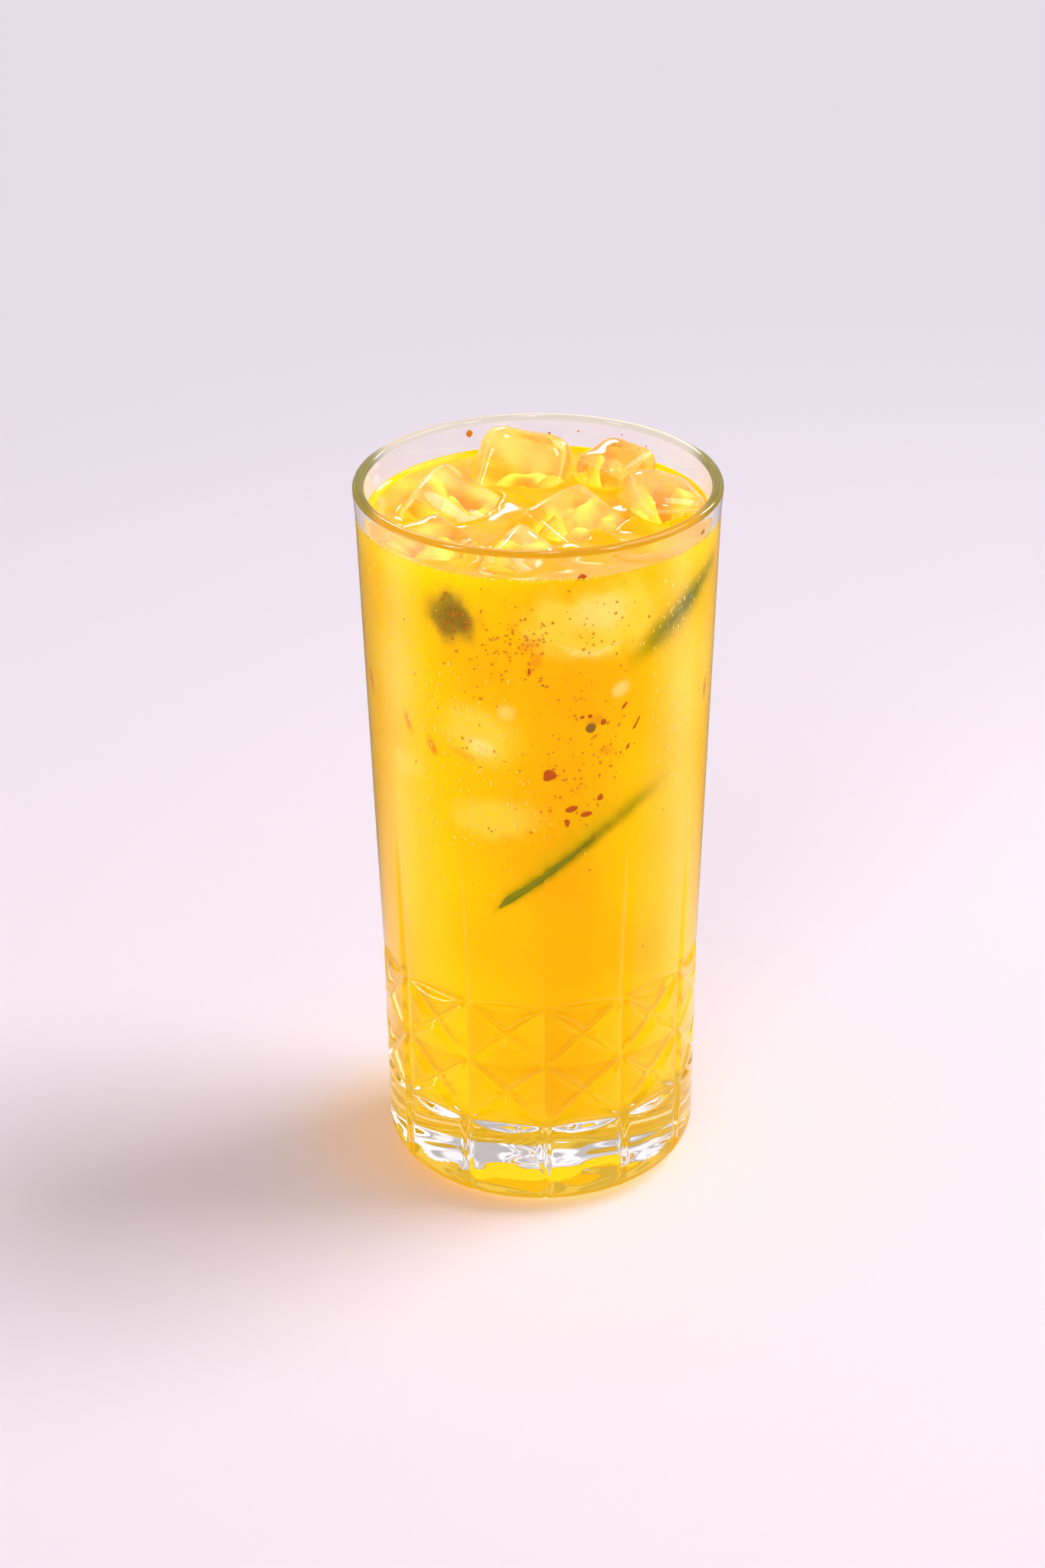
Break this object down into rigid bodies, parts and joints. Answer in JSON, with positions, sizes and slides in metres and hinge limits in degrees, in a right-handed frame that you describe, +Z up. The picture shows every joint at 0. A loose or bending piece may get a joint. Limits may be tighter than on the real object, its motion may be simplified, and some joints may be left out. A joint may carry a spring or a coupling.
{
  "type": "glass of mango juice",
  "caption": "Tall pressed-glass tumbler with a belt of crossed cuts and a heavy base, filled with mango juice and ice lumps.",
  "frame": {"origin": "centre of the foot's contact ring, on the surface the glass stands on", "axes": "+Z up along the glass axis, -Y towards the front, +X to the right seen from the front"},
  "size_m": [0.078, 0.078, 0.1622],
  "materials": {
    "glass": "clear soda-lime glass, pressed, fire-polished, faint green cast",
    "juice": "cloudy yellow-orange mango juice, liquid",
    "ice": "wet clear ice, tinted yellow by the juice"
  },
  "bodies": {
    "root": {"glass": "glass", "juice": "juice", "ice_back": "ice", "ice_left": "ice", "ice_front_left": "ice", "ice_front": "ice", "ice_centre": "ice", "ice_right": "ice", "ice_back_right": "ice"}
  },
  "joints": []
}
